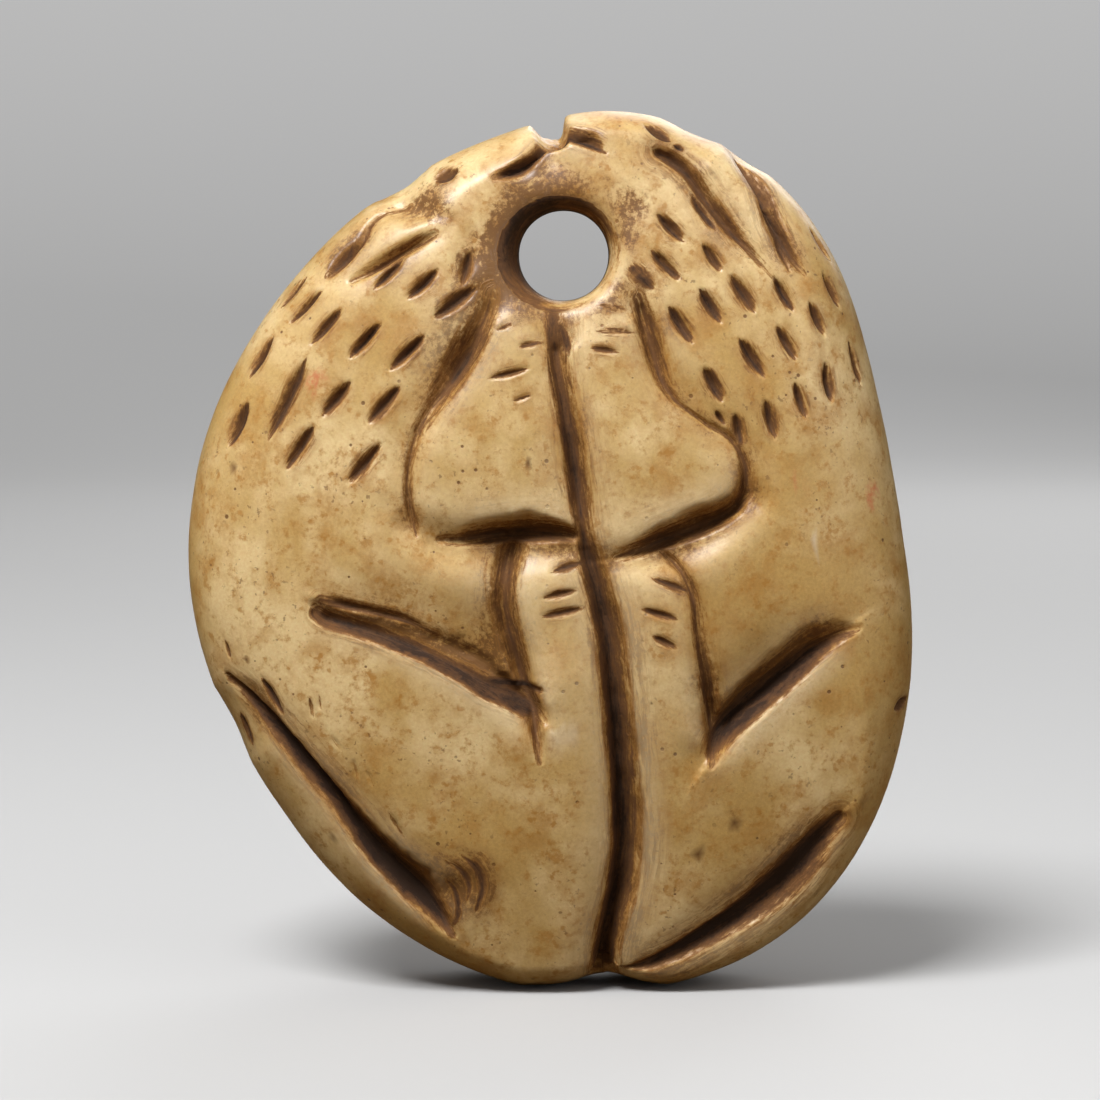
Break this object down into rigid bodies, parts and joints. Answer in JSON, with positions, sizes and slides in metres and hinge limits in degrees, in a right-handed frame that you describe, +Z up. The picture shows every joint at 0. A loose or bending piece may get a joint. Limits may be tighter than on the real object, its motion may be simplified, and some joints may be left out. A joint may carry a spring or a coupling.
{
  "type": "carved bone pendant",
  "caption": "Pebble-shaped bone pendant carved as two crouching animals nose to nose, with fur ticks, a parting groove and a cross-drilled cord hole.",
  "frame": {"origin": "middle of the foot: under the centre of the bounding box, where the two rumps stand on a surface", "axes": "+Z up from the rumps to the heads, -Y out of the front face, +X to the right of someone looking at the front"},
  "size_m": [0.0331, 0.013, 0.04],
  "materials": {
    "polished_bone": "satin"
  },
  "bodies": {
    "root": {"carved_bone_body": "polished_bone"}
  },
  "joints": []
}
